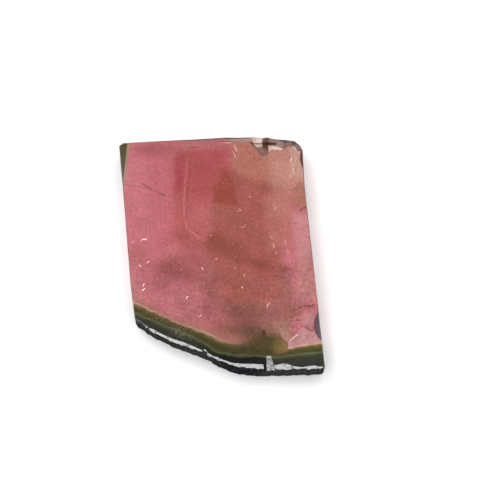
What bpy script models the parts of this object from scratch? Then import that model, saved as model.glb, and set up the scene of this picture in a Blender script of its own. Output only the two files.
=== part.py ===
"""Watermelon tourmaline slice: one piece of crystal, sawn across its length and polished on both flats.

The slice lies on its back face. +Z goes up through its thickness, +Y towards the sawn top edge, and the
crystal's own outside, the dark rind, is at -Y. The origin is the middle of the bounding box, on the back face.
"""

import math

import bmesh
import bpy
from mathutils import Vector
from mathutils import noise

MM = 0.001

# Driving dimensions, in millimetres.
THICKNESS = 3.2
SAWN_CHAMFER = 0.09
RIND_CHAMFER = 0.13
CHAMFER_SLOPE = 0.8

# The plan outline at its widest, anticlockwise from the top left: name, x, y, fillet radius.
# The crystal's own prism faces are the edges that start at a name in RIND_EDGES.
CORNERS = (
    ("top_left_low", -8.61, 9.17, 0.08),
    ("left_high", -8.23, 5.40, 6.00),
    ("left_low", -7.52, -2.60, 8.00),
    ("bottom_left", -7.14, -5.52, 0.40),
    ("slant_top", -6.18, -6.24, 1.20),
    ("slant_high", -4.17, -7.30, 4.00),
    ("slant_low", -1.83, -8.26, 4.00),
    ("slant_foot", 0.80, -9.50, 2.00),
    ("base_left", 2.50, -9.79, 3.00),
    ("base_right", 4.60, -9.82, 5.00),
    ("bottom_right", 8.47, -9.65, 0.25),
    ("right_bend", 6.88, 5.60, 8.00),
    ("top_right", 6.70, 9.64, 1.10),
    ("top_middle", 2.45, 10.06, 9.00),
    ("top_left_high", -8.27, 9.41, 0.08),
)
RIND_EDGES = (
    "bottom_left",
    "slant_top",
    "slant_high",
    "slant_low",
    "slant_foot",
    "base_left",
    "base_right",
)
SAWN_STEP = 1.2
RIND_STEP = 0.20
ARC_STEP = math.radians(14)

# Growth ridges on the prism faces, parallel to Z: period along the rind, height, phase.
STRIATIONS = ((1.93, 0.026, 0.4), (0.83, 0.022, 2.1), (0.47, 0.012, 5.0))
# Broad growth steps: distance along the rind from its left end, width, height.
GROWTH_STEPS = ((2.6, 0.9, 0.05), (6.3, 0.7, -0.06), (10.4, 1.2, 0.04), (13.6, 0.8, -0.03))
# The bevel round the front of the rind swells in these places: distance, width, extra.
BEVEL_SWELLS = ((5.0, 1.5, 0.11), (12.1, 1.6, 0.17), (15.2, 0.75, 0.22), (17.6, 0.35, 0.08))
# The wall leans in towards the front, or out where it is negative: distance, width, lean at the front.
WALL_LEANS = ((3.6, 2.4, -0.09), (11.0, 2.3, 0.16), (17.4, 1.0, -0.06))

# Heights of the wall's rings between its chamfers, as shares of the thickness.
WALL_SHARES = (0.25, 0.5, 0.75)

# Scoops that broke out of the edges: name, centre, radii, turn about Z and tilt in degrees, facets.
CHIPS = (
    ("top_bevel_left", (-2.20, 10.10, 3.30), (4.60, 0.52, 0.40), 2.0, 0.0, 2),
    ("top_bevel_middle", (1.90, 10.44, 3.42), (2.50, 1.07, 0.78), -0.5, 0.0, 2),
    ("top_bevel_right", (5.65, 10.25, 3.44), (1.70, 1.15, 0.72), -6.0, 0.0, 2),
    ("top_facet_a", (3.00, 10.15, 3.55), (0.90, 1.10, 0.95), 12.0, 0.0, 1),
    ("top_facet_b", (4.70, 9.90, 3.55), (1.25, 1.22, 0.85), -6.0, 0.0, 1),
    ("corner_facet", (6.45, 9.55, 3.45), (1.10, 0.90, 0.80), -38.0, 0.0, 1),
    ("right_top_facet", (7.05, 8.10, 3.46), (0.62, 1.30, 0.76), 3.0, 0.0, 1),
    ("right_wedge", (8.45, -6.15, 3.52), (1.00, 1.40, 0.95), 7.0, 0.0, 1),
    ("right_back_wedge", (8.36, -4.90, -0.20), (0.62, 1.70, 0.70), 6.0, 0.0, 1),
    ("slant_back_scoop", (-5.70, -6.72, -0.20), (1.00, 0.50, 0.52), -30.0, 0.0, 1),
    ("back_edge_scoop", (-3.60, 9.86, -0.22), (1.70, 0.52, 0.60), 2.0, 0.0, 1),
    ("left_nick", (-8.30, 2.30, -0.16), (0.42, 0.90, 0.42), 5.0, 0.0, 1),
)
CHIP_ROUGHNESS = 0.10
CHIP_GRAIN = 2.6
# Flat-floored breaks that open away from their tip: name, tip, width at the tip and at the far end, run,
# fall of the floor in degrees, tilt, turn and roughness. A tilt of -90 lays the break down the wall.
BREAKS = (
    ("top_notch", (3.49, 8.16, 3.20), (0.12, 2.30), 1.35, 26.0, 0.0, 1.0, 0.09),
    ("rind_gap", (3.56, -9.20, 3.20), (0.24, 0.26), 1.1, 66.0, 0.0, 183.0, 0.03),
    ("rind_step", (3.88, -8.80, 3.20), (0.38, 0.52), 1.5, 41.0, 0.0, 184.0, 0.02),
    ("rind_notch_rim", (-1.37, -8.12, 3.20), (0.10, 1.10), 0.75, 38.0, 0.0, 184.0, 0.03),
    ("rind_notch", (-1.38, -8.27, 3.30), (0.34, 1.70), 3.6, -1.6, -90.0, 156.0, 0.09),
)
BREAK_CLEARANCE = 0.8
BREAK_CUTS = 2
BREAK_GRAIN = 1.7
# fixes the breaks' shape: without a seed, noise_vector starts somewhere else on each run
BREAK_SEED = 1795467466


def clear_scene():
    for thing in list(bpy.data.objects):
        bpy.data.objects.remove(thing)


def collection(name):
    made = bpy.data.collections.new(name)
    bpy.context.scene.collection.children.link(made)
    return made


def fillet(before, corner, after, radius):
    """The two tangent points of a corner's arc, and its centre and true radius."""
    back = (before - corner).normalized()
    ahead = (after - corner).normalized()
    half = back.angle(ahead) / 2
    reach = min(radius / math.tan(half), 0.45 * (before - corner).length, 0.45 * (after - corner).length)
    radius = reach * math.tan(half)
    centre = corner + (back + ahead).normalized() * (radius / math.sin(half))
    return corner + back * reach, corner + ahead * reach, centre


def arc(start, end, centre):
    """Points from start up to, and not including, end, round centre the short way."""
    first, last = start - centre, end - centre
    sweep = first.angle_signed(last)
    steps = max(1, math.ceil(abs(sweep) / ARC_STEP))
    turned = []
    for i in range(steps):
        angle = -sweep * i / steps
        c, s = math.cos(angle), math.sin(angle)
        turned.append(centre + Vector((first.x * c - first.y * s, first.x * s + first.y * c)))
    return turned


def plan_outline():
    """The outline as (point, rind share) pairs, anticlockwise. Rind share is 1 on a prism face and 0 on a cut."""
    places = [Vector((x, y)) for _, x, y, _ in CORNERS]
    count = len(places)
    bends = [
        fillet(places[i - 1], places[i], places[(i + 1) % count], CORNERS[i][3]) for i in range(count)
    ]
    outline = []
    for i in range(count):
        start, end, centre = bends[i]
        before_rind = CORNERS[i - 1][0] in RIND_EDGES
        after_rind = CORNERS[i][0] in RIND_EDGES
        share = (before_rind + after_rind) / 2
        outline += [(point, share) for point in arc(start, end, centre)]
        run = bends[(i + 1) % count][0] - end
        steps = max(1, round(run.length / (RIND_STEP if after_rind else SAWN_STEP)))
        outline += [(end + run * j / steps, float(after_rind)) for j in range(steps)]
    return outline


def outward(outline, i):
    """The outline's outward normal at a point, from its two neighbours."""
    along = outline[(i + 1) % len(outline)][0] - outline[i - 1][0]
    return Vector((along.y, -along.x)).normalized()


def swell(distance, swells):
    """The sum of the soft swells at this distance along the rind."""
    return sum(height * math.exp(-(((distance - place) / width) ** 2)) for place, width, height in swells)


def ridge(distance):
    """How far the prism face stands out at this distance along the rind."""
    waves = sum(a * math.sin(math.tau * distance / period + phase) for period, a, phase in STRIATIONS)
    return waves + swell(distance, GROWTH_STEPS)


def station_places(outline):
    """The rings of the slab, from the back up: for each, the place of every point of the outline, in metres.

    The bevels are flat cuts, so they end higher or lower on the wall as its ridges stand out or fall back.
    """
    normals = [outward(outline, i) for i in range(len(outline))]
    along = 0.0
    rings = [[] for _ in range(len(WALL_SHARES) + 4)]
    for i, (point, share) in enumerate(outline):
        along += (point - outline[i - 1][0]).length if share > 0 and i else 0.0
        stand_out = ridge(along) * share
        lean = swell(along, WALL_LEANS) * share
        back = SAWN_CHAMFER + (RIND_CHAMFER - SAWN_CHAMFER) * share
        front = SAWN_CHAMFER + (RIND_CHAMFER + swell(along, BEVEL_SWELLS) - SAWN_CHAMFER) * share
        low = (back + stand_out) * CHAMFER_SLOPE
        high = THICKNESS - (front + stand_out) * CHAMFER_SLOPE
        walls = [low] + [THICKNESS * height for height in WALL_SHARES] + [high]
        stations = [(0.0, -back)]
        stations += [(height, stand_out - lean * height / THICKNESS) for height in walls]
        stations += [(THICKNESS, -front - lean)]
        for ring, (height, offset) in zip(rings, stations):
            moved = point + normals[i] * offset
            ring.append(Vector((moved.x, moved.y, height)) * MM)
    return rings


def slab_mesh():
    """The slice before its chips: the back outline drawn as edges, then extruded ring by ring and capped."""
    rings = station_places(plan_outline())
    body = bmesh.new()
    station = body.verts.layers.int.new("station")
    corners = [body.verts.new(place) for place in rings[0]]
    for i, vert in enumerate(corners):
        vert[station] = i
    rim = [body.edges.new((corners[i - 1], corners[i])) for i in range(len(corners))]
    bmesh.ops.contextual_create(body, geom=rim)
    for ring in rings[1:]:
        raised = bmesh.ops.extrude_edge_only(body, edges=rim)["geom"]
        rim = [item for item in raised if isinstance(item, bmesh.types.BMEdge)]
        for vert in (item for item in raised if isinstance(item, bmesh.types.BMVert)):
            vert.co = ring[vert[station]]
    bmesh.ops.contextual_create(body, geom=rim)
    bmesh.ops.recalc_face_normals(body, faces=body.faces)
    body.verts.layers.int.remove(station)
    mesh = bpy.data.meshes.new("tourmaline_slice")
    body.to_mesh(mesh)
    body.free()
    return mesh


def cutter(name, shape, centre, turn, tilt, cutters):
    """Names a bmesh in millimetres as a hidden cutting tool and puts it in its place."""
    for vert in shape.verts:
        vert.co *= MM
    mesh = bpy.data.meshes.new(name)
    shape.to_mesh(mesh)
    shape.free()
    tool = bpy.data.objects.new(name, mesh)
    tool.location = Vector(centre) * MM
    tool.rotation_euler = (math.radians(tilt), 0, math.radians(turn))
    tool.hide_render = True
    tool.display_type = "WIRE"
    cutters.objects.link(tool)
    return tool


def scoop(name, centre, radii, turn, tilt, facets, cutters):
    """A faceted, slightly lumpy ellipsoid, which leaves a shell-shaped break."""
    lump = bmesh.new()
    bmesh.ops.create_icosphere(lump, subdivisions=facets + 1, radius=1.0)
    for vert in lump.verts:
        vert.co *= 1 + CHIP_ROUGHNESS * noise.noise(vert.co * CHIP_GRAIN + Vector(centre))
        vert.co = Vector([c * r for c, r in zip(vert.co, radii)])
    return cutter(name, lump, centre, turn, tilt, cutters)


def flat_break(name, tip, widths, run, fall, tilt, turn, roughness, cutters):
    """A box that widens away from its tip, with a falling floor, which leaves a flat-floored notch."""
    box = bmesh.new()
    bmesh.ops.create_cube(box, size=1.0)
    floor = -run * math.tan(math.radians(fall))
    for vert in box.verts:
        far = vert.co.y > 0
        width = widths[1] if far else widths[0]
        height = BREAK_CLEARANCE if vert.co.z > 0 else (floor if far else 0.0)
        vert.co = Vector((vert.co.x * width, run if far else 0.0, height))
    bmesh.ops.subdivide_edges(box, edges=box.edges, cuts=BREAK_CUTS, use_grid_fill=True)
    for vert in box.verts:
        vert.co += roughness * noise.noise_vector(vert.co * BREAK_GRAIN + Vector(tip))
    bmesh.ops.triangulate(box, faces=box.faces)
    return cutter(name, box, tip, turn, tilt, cutters)


def tourmaline_material():
    material = bpy.data.materials.new("tourmaline")
    material.use_nodes = True
    shader = material.node_tree.nodes["Principled BSDF"]
    shader.inputs["Base Color"].default_value = (0.56, 0.15, 0.17, 1.0)
    shader.inputs["Metallic"].default_value = 0.0
    shader.inputs["Roughness"].default_value = 0.08
    shader.inputs["IOR"].default_value = 1.63
    shader.inputs["Transmission Weight"].default_value = 0.6
    return material


def cut_away(stone, tool):
    cut = stone.modifiers.new(tool.name, "BOOLEAN")
    cut.operation = "DIFFERENCE"
    cut.solver = "EXACT"
    cut.object = tool


def tourmaline_slice():
    """The whole slice, with its chips cut away."""
    part = collection("watermelon_tourmaline_slice")
    cutters = collection("chip_cutters")
    stone = bpy.data.objects.new("tourmaline_slice", slab_mesh())
    stone.data.materials.append(tourmaline_material())
    part.objects.link(stone)
    for chip in CHIPS:
        cut_away(stone, scoop(*chip, cutters))
    noise.seed_set(BREAK_SEED)
    for broken in BREAKS:
        cut_away(stone, flat_break(*broken, cutters))
    return stone


clear_scene()
tourmaline_slice()
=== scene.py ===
# %% [markdown]
# # A watermelon tourmaline slice
#
# The object is one flat slice sawn across a tourmaline crystal: pink inside, olive and black-green at the
# rind that the crystal grew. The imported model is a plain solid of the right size. This lesson dresses it:
# a finer mesh with the same outline, a see-through material with the crystal's colour zones, and the tiny
# fractures inside it. Loading the frame comes first, because every piece has to sit on that solid.

# %% Load the frame
import functools
import math
import random

import bmesh
import bpy
from mathutils import Matrix, Vector, noise


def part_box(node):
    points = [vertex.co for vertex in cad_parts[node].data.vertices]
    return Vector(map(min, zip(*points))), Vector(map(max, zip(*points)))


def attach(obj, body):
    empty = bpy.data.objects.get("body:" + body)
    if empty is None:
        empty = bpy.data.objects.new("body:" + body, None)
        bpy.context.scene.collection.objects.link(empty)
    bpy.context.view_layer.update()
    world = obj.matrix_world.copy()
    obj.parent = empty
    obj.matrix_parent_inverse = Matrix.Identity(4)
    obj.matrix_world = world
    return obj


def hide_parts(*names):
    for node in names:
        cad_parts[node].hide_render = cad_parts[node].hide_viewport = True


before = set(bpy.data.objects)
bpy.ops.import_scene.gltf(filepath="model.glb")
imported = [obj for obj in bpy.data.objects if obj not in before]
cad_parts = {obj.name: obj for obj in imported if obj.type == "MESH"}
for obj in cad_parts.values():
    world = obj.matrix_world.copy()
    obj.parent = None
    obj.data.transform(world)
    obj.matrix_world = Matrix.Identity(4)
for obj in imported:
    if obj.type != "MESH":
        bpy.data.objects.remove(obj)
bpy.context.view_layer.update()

MM = 0.001
node_low, node_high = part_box("tourmaline_slice")
THICKNESS = (node_high.z - node_low.z) / MM
print("the solid's box, in mm:", [round(v / MM, 2) for v in node_high - node_low])

# %% [markdown]
# ## The camera
#
# A flat stone shows best from almost straight above, tipped a little so that the rind shows along its near
# side: 13 degrees off square make a 3.2 mm thick wall look 0.7 mm deep. A long lens far away keeps the
# edges straight. The camera is moved aside rather than shifted, to set the stone's place in the picture.

# %% Place the camera
CAMERA_DISTANCE = 200.0
CAMERA_ELEVATION = math.radians(77)
PICTURE_SIDE = 500
PIXELS_PER_MM = 12.0
STONE_AT_PIXEL = (222.0, 257.0)
SENSOR_WIDTH = 36.0
NEAREST_SEEN = 0.01


def link(name, data):
    """Puts an object with this mesh, light or camera into the scene."""
    thing = bpy.data.objects.new(name, data)
    bpy.context.scene.collection.objects.link(thing)
    return thing


def place_camera():
    """A long lens that looks down on the stone's middle, which falls on STONE_AT_PIXEL."""
    lens = bpy.data.cameras.new("camera")
    lens.sensor_width = SENSOR_WIDTH
    lens.lens = SENSOR_WIDTH * CAMERA_DISTANCE * PIXELS_PER_MM / PICTURE_SIDE
    lens.clip_start = NEAREST_SEEN
    camera = link("camera", lens)
    towards = Vector((0, -math.cos(CAMERA_ELEVATION), math.sin(CAMERA_ELEVATION)))
    camera.rotation_euler = (math.pi / 2 - CAMERA_ELEVATION, 0, 0)
    right = Vector((1, 0, 0))
    up = towards.cross(right)
    aside = (PICTURE_SIDE / 2 - STONE_AT_PIXEL[0]) * right + (STONE_AT_PIXEL[1] - PICTURE_SIDE / 2) * up
    middle = Vector((0, 0, THICKNESS / 2))
    camera.location = (middle + aside / PIXELS_PER_MM + towards * CAMERA_DISTANCE) * MM
    bpy.context.scene.camera = camera
    return camera


camera = place_camera()
print("lens", round(camera.data.lens, 1), "mm")

# %% [markdown]
# ## The floor
#
# A big pale sheet. It is kept out of mirror reflections: the stone's black wall would otherwise mirror the
# white sheet it lies on, where a studio has a black card stand in front of it.

# %% Lay the floor
FLOOR_SIDE = 3.0
FLOOR_GAP = 0.01
PALE = (0.95, 0.95, 0.95)


def plain_material(name, colour, roughness):
    """A material of one colour, whose Principled shader can be built on."""
    material = bpy.data.materials.new(name)
    material.use_nodes = True
    shader = material.node_tree.nodes["Principled BSDF"]
    shader.inputs["Base Color"].default_value = (*colour, 1.0)
    shader.inputs["Roughness"].default_value = roughness
    return material


def mesh_from(name, body, material=None):
    """An object made of a bmesh in metres, which is freed."""
    mesh = bpy.data.meshes.new(name)
    body.to_mesh(mesh)
    body.free()
    if material:
        mesh.materials.append(material)
    return link(name, mesh)


def lay_floor():
    sheet = bmesh.new()
    bmesh.ops.create_grid(sheet, x_segments=1, y_segments=1, size=FLOOR_SIDE / 2)
    matt = plain_material("floor", PALE, 0.9)
    matt.node_tree.nodes["Principled BSDF"].inputs["Specular IOR Level"].default_value = 0.0
    floor = mesh_from("floor", sheet, matt)
    floor.location.z = -FLOOR_GAP * MM
    floor.visible_glossy = False
    return floor


floor = lay_floor()
print("a floor of", FLOOR_SIDE, "m")

# %% [markdown]
# ## Wiring nodes
#
# A procedural material is a long chain of small sums. These helpers add one node each, in the tree of their
# first socket, and return its output, so that a mask is written much like arithmetic. Colours are multiplied
# by a Hue/Saturation node, which takes a plain number where a vector sum takes three: Cycles has room for
# only so many numbers at once, and turns a material black that needs more.

# %% Node helpers
def feed(socket, value):
    """Links a socket into an input, or sets the input to a plain value."""
    if isinstance(value, bpy.types.NodeSocket):
        socket.id_data.links.new(value, socket)
    elif value is not None:
        socket.default_value = value


def add(kind, *feeds, tree=None, out=0, **settings):
    """Adds a node, feeds its inputs in order, and returns one of its outputs."""
    tree = tree or next(value.id_data for value in feeds if isinstance(value, bpy.types.NodeSocket))
    node = tree.nodes.new("ShaderNode" + kind)
    for name, value in settings.items():
        setattr(node, name, value)
    for socket, value in zip(node.inputs, feeds):
        feed(socket, value)
    return node.outputs[out]


def calc(operation, *values, **settings):
    """A sum of plain numbers."""
    return add("Math", *values, operation=operation, **settings)


def times(*factors):
    """The product of masks: high only where all of them are high."""
    return functools.reduce(functools.partial(calc, "MULTIPLY"), factors)


def vector(operation, *values):
    """A vector sum. A dot product and a length come out of the node's second output."""
    number = operation in ("DOT_PRODUCT", "LENGTH")
    return add("VectorMath", *values, operation=operation, out=1 if number else 0)


def part(place, axis):
    """One coordinate of a place: 0, 1 or 2."""
    return add("SeparateXYZ", place, out=axis)


def scale(value, low, high, to_low=0.0, to_high=1.0):
    """A straight ramp of value, from to_low at low to to_high at high."""
    return add("MapRange", value, low, high, to_low, to_high)


def ease(value, low, high, to_low=0.0, to_high=1.0):
    """The same ramp with soft ends."""
    return add("MapRange", value, low, high, to_low, to_high, interpolation_type="SMOOTHSTEP")


def over(under, colour, mask):
    """Lays a colour over another one where the mask is high."""
    node = mask.id_data.nodes.new("ShaderNodeMix")
    node.data_type = "RGBA"
    for place, value in ((0, mask), (6, under), (7, colour)):
        feed(node.inputs[place], value)
    return node.outputs[2]


def shaded(colour, factor):
    """Multiplies a colour by a factor, which keeps its hue."""
    return add("HueSaturation", None, None, factor, None, colour)


def mix(share, low, high):
    """A number between low and high, which may be sockets too."""
    return add("Mix", share, None, low, high)


def grain(place, size, detail=2.0, stretch=None):
    """Noise with lumps of this size in mm, from 0 to 1."""
    if stretch:
        place = vector("MULTIPLY", place, stretch)
    return add("TexNoise", place, None, 1 / size, detail)


print("a mask is a number from 0 to 1")

# %% [markdown]
# ## The light
#
# A polished stone shows its lights as much as its colour. A white sky lights everything. It is greyer
# overhead, where the flat face mirrors it, and dark below the horizon for the reason given above. A sheet
# of light over the stone makes up for that unmirrored. A soft box high on the left throws the narrow shadow.
# Two more boxes are seen only in reflections: a long low one, which turns the bevel along the rind into a
# white ribbon, and one behind, for the chips at the far edge.

# %% Set the lights
BELOW_HORIZON, SKY_LOW, SKY_TOP = 0.03, 0.72, 0.2
SKY_STEPS = (
    # height where it starts and ends, change of the sky's strength
    (-0.6, -0.15, SKY_LOW - BELOW_HORIZON),
    (0.75, 0.98, SKY_TOP - SKY_LOW),
)


def white_sky():
    """White round the horizon, a little greyer overhead, and dark far below the horizon."""
    world = bpy.data.worlds.new("sky")
    bpy.context.scene.world = world
    world.use_nodes = True
    height = part(add("TexCoord", tree=world.node_tree), 2)
    strength = BELOW_HORIZON
    for low, high, change in SKY_STEPS:
        strength = calc("ADD", ease(height, low, high, 0.0, change), strength)
    sky = world.node_tree.nodes["Background"].inputs
    feed(sky["Strength"], strength)
    sky["Color"].default_value = (1.0, 1.0, 1.0, 1.0)


def soft_box(name, azimuth, elevation, distance, size, radiance, mirrored="also"):
    """A light that faces the stone: azimuth 0 is in front, and 90 is on the right.

    It is mirrored in the polish "also", which means besides lighting the stone, "only" or "never".
    """
    box = bpy.data.lights.new(name, "AREA")
    box.shape = "RECTANGLE"
    box.size, box.size_y = size[0] * MM, size[1] * MM
    box.energy = math.pi * box.size * box.size_y * radiance
    lamp = link(name, box)
    turn, rise = math.radians(azimuth), math.radians(elevation)
    away = Vector((math.sin(turn) * math.cos(rise), -math.cos(turn) * math.cos(rise), math.sin(rise)))
    lamp.location = away * distance * MM
    lamp.rotation_euler = away.to_track_quat("Z", "Y").to_euler()
    lamp.visible_glossy = mirrored != "never"
    lamp.visible_diffuse = lamp.visible_transmission = lamp.visible_volume_scatter = mirrored != "only"
    return lamp


white_sky()
lamps = (
    soft_box("key_box", azimuth=-125, elevation=66, distance=220, size=(80, 80), radiance=5.5),
    soft_box("top_box", 0, 88, 260, (260, 260), 2.3, mirrored="never"),
    soft_box("ribbon_box", -8, 23, 160, (230, 40), 9.5, mirrored="only"),
    soft_box("back_box", 170, 38, 160, (150, 60), 5.0, mirrored="only"),
)
bpy.context.scene.view_settings.view_transform = "Standard"
print("lights:", ", ".join(lamp.name for lamp in lamps))

# %% [markdown]
# ## The slice's outline
#
# Seven of the outline's edges are the crystal's own prism faces, and the rest are cuts. A few corners, each
# with a rounding radius, describe such a shape better than a long list of points. The ridges that run along
# every tourmaline crystal are added along the outward normal, in waves that never line up.

# %% The outline and its ridges
CORNERS = (
    # x, y, radius, anticlockwise from the top left
    (-8.61, 9.17, 0.08),
    (-8.23, 5.4, 6),
    (-7.52, -2.6, 8),
    (-7.14, -5.52, 0.4),
    (-6.18, -6.24, 1.2),
    (-4.17, -7.3, 4),
    (-1.83, -8.26, 4),
    (0.8, -9.5, 2),
    (2.5, -9.79, 3),
    (4.6, -9.82, 5),
    (8.47, -9.65, 0.25),
    (6.88, 5.6, 8),
    (6.7, 9.64, 1.1),
    (2.45, 10.06, 9),
    (-8.27, 9.41, 0.08),
)
GROWN_EDGES = range(3, 10)
LONGEST_FILLET = 0.45
SAWN_STEP = 0.30
RIND_STEP = 0.035
ARC_STEP = math.radians(3)
# period in mm, height, phase
STRIATIONS = ((1.93, 0.026, 0.4), (0.83, 0.022, 2.1), (0.47, 0.012, 5.0))
# distance along the rind, width, height
GROWTH_STEPS = ((2.6, 0.9, 0.05), (6.3, 0.7, -0.06), (10.4, 1.2, 0.04), (13.6, 0.8, -0.03))


def fillet(before, corner, after, radius):
    """The two tangent points of a corner's arc, and the arc's centre."""
    back = (before - corner).normalized()
    ahead = (after - corner).normalized()
    half = back.angle(ahead) / 2
    longest = LONGEST_FILLET * min((before - corner).length, (after - corner).length)
    reach = min(radius / math.tan(half), longest)
    radius = reach * math.tan(half)
    centre = corner + (back + ahead).normalized() * (radius / math.sin(half))
    return corner + back * reach, corner + ahead * reach, centre


def arc(start, end, centre):
    """Points from start up to, and not including, end, round centre the short way."""
    first = start - centre
    sweep = first.angle_signed(end - centre)
    steps = max(1, math.ceil(abs(sweep) / ARC_STEP))
    turned = []
    for i in range(steps):
        c, s = math.cos(-sweep * i / steps), math.sin(-sweep * i / steps)
        turned.append(centre + Vector((first.x * c - first.y * s, first.x * s + first.y * c)))
    return turned


def plan_outline():
    """The outline as (point, rind share) pairs. Each edge starts at the corner with its number."""
    places = [Vector((x, y)) for x, y, _ in CORNERS]
    count = len(places)
    bends = [
        fillet(places[i - 1], places[i], places[(i + 1) % count], CORNERS[i][2]) for i in range(count)
    ]
    outline = []
    for i, (start, end, centre) in enumerate(bends):
        share = ((i - 1 in GROWN_EDGES) + (i in GROWN_EDGES)) / 2
        outline += [(point, share) for point in arc(start, end, centre)]
        run = bends[(i + 1) % count][0] - end
        steps = max(1, round(run.length / (RIND_STEP if i in GROWN_EDGES else SAWN_STEP)))
        outline += [(end + run * j / steps, float(i in GROWN_EDGES)) for j in range(steps)]
    return outline


def outward(outline, i):
    """The outline's outward normal at a point, from its two neighbours."""
    along = outline[(i + 1) % len(outline)][0] - outline[i - 1][0]
    return Vector((along.y, -along.x)).normalized()


def swell(distance, swells):
    """The sum of the soft swells at this distance along the rind."""
    return sum(height * math.exp(-(((distance - place) / width) ** 2)) for place, width, height in swells)


def ridge(distance):
    """The broad ridges that the plain solid has too."""
    waves = sum(a * math.sin(math.tau * distance / period + phase) for period, a, phase in STRIATIONS)
    return waves + swell(distance, GROWTH_STEPS)


outline = plan_outline()
print(len(outline), "points round the outline")

# %% [markdown]
# ## The slab
#
# The body is a loft: the outline drawn as a ring of edges, extruded from level to level, and capped at both
# ends. The rings' points stay lined up, so each ring can be moved on its own: in at the chamfers, and in
# and out along the wall for the fine growth lines. Those are noise stretched along the crystal's length.

# %% Loft the slab
SAWN_CHAMFER = 0.09
RIND_CHAMFER = 0.13
CHAMFER_SLOPE = 0.8
BEVEL_SWELLS = ((5.0, 1.5, 0.11), (11.5, 1.5, 0.16), (13.7, 0.8, 0.29), (16.0, 0.4, 0.1))
BEVEL_WAVER, WAVER_GRAIN = 0.05, 2.3
WALL_LEANS = ((3.6, 2.4, -0.09), (11.0, 2.3, 0.16), (17.4, 1.0, -0.06))
WALL_LEVELS = 22
# change along the rind, change up the wall, height
FINE_LINES = ((2.2, 0.30, 0.020), (6.5, 0.55, 0.012), (14.0, 0.90, 0.006))
SAW_WAVE, SAW_GRAIN = 0.012, 3


def fine_lines(distance, height):
    """Growth lines: noise that changes quickly along the rind and slowly up the wall."""
    places = [(Vector((distance * fine, height * slow, fine)), tall) for fine, slow, tall in FINE_LINES]
    return sum(tall * noise.noise(place) for place, tall in places)


def slab_rings(outline):
    """The slab's rings from the back up: for each, the place of every point of the outline, in metres."""
    normals = [outward(outline, i) for i in range(len(outline))]
    along = 0.0
    rings = [[] for _ in range(WALL_LEVELS + 4)]
    for i, (point, share) in enumerate(outline):
        along += (point - outline[i - 1][0]).length if share > 0 and i else 0.0
        waver = BEVEL_WAVER * noise.noise(Vector((along * WAVER_GRAIN, 4.0, 0.0)))
        ridges = ridge(along) * share
        lean = swell(along, WALL_LEANS) * share
        back = SAWN_CHAMFER + (RIND_CHAMFER - SAWN_CHAMFER) * share
        front = SAWN_CHAMFER + (RIND_CHAMFER + swell(along, BEVEL_SWELLS) + waver - SAWN_CHAMFER) * share
        low, high = (back + ridges) * CHAMFER_SLOPE, THICKNESS - (front + ridges) * CHAMFER_SLOPE
        stations = [(0.0, -back)]
        for level in range(WALL_LEVELS + 2):
            height = low + (high - low) * level / (WALL_LEVELS + 1)
            rough = fine_lines(along, height) * share
            rough += SAW_WAVE * noise.noise(Vector((point.x, point.y, height * SAW_GRAIN))) * (1 - share)
            stations.append((height, ridges + rough - lean * height / THICKNESS))
        stations.append((THICKNESS, -front - lean))
        for ring, (height, offset) in zip(rings, stations):
            moved = point + normals[i] * offset
            ring.append(Vector((moved.x, moved.y, height)) * MM)
    return rings


def loft(name, rings):
    """A closed mesh from rings with the same number of points, by extruding the first ring's edges."""
    body = bmesh.new()
    station = body.verts.layers.int.new("station")
    corners = [body.verts.new(place) for place in rings[0]]
    for i, vert in enumerate(corners):
        vert[station] = i
    rim = [body.edges.new((corners[i - 1], corners[i])) for i in range(len(corners))]
    bmesh.ops.contextual_create(body, geom=rim)
    for ring in rings[1:]:
        raised = bmesh.ops.extrude_edge_only(body, edges=rim)["geom"]
        rim = [item for item in raised if isinstance(item, bmesh.types.BMEdge)]
        for vert in (item for item in raised if isinstance(item, bmesh.types.BMVert)):
            vert.co = ring[vert[station]]
    bmesh.ops.contextual_create(body, geom=rim)
    bmesh.ops.recalc_face_normals(body, faces=body.faces)
    body.verts.layers.int.remove(station)
    return mesh_from(name, body)


stone = loft("polished_slice", slab_rings(outline))
print(len(stone.data.polygons), "faces before the chips")

# %% [markdown]
# ## Chips and breaks
#
# Tourmaline breaks like thick glass, in shell-shaped scoops with faint ripples. Each break is cut with a
# Boolean, by a cutter that is a few large facets first, and then finely divided and rippled. Cutting is
# better than pushing vertices here, because the break then has a sharp rim.

# %% Cut the chips
CHIPS = (
    # name, centre, radii, turn, facets
    ("top_bevel_left", (-2.2, 10.1, 3.3), (4.6, 0.52, 0.4), 2, 2),
    ("top_bevel_middle", (1.9, 10.44, 3.42), (2.5, 1.07, 0.78), -0.5, 2),
    ("top_bevel_right", (5.65, 10.25, 3.44), (1.7, 1.15, 0.72), -6, 2),
    ("top_facet_a", (3, 10.15, 3.55), (0.9, 1.1, 0.95), 12, 1),
    ("top_facet_b", (4.7, 9.9, 3.55), (1.25, 1.22, 0.85), -6, 1),
    ("corner_facet", (6.45, 9.55, 3.45), (1.1, 0.9, 0.8), -38, 1),
    ("right_top_facet", (7.05, 8.1, 3.46), (0.62, 1.3, 0.76), 3, 1),
    ("right_wedge", (8.45, -6.15, 3.52), (1, 1.4, 0.95), 7, 1),
    ("right_back_wedge", (8.36, -4.9, -0.2), (0.62, 1.7, 0.7), 6, 1),
    ("slant_back_scoop", (-5.7, -6.72, -0.2), (1, 0.5, 0.52), -30, 1),
    ("back_edge_scoop", (-3.6, 9.86, -0.22), (1.7, 0.52, 0.6), 2, 1),
    ("left_nick", (-8.3, 2.3, -0.16), (0.42, 0.9, 0.42), 5, 1),
)
CHIP_ROUGHNESS = 0.10
CHIP_GRAIN = 2.6
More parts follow.
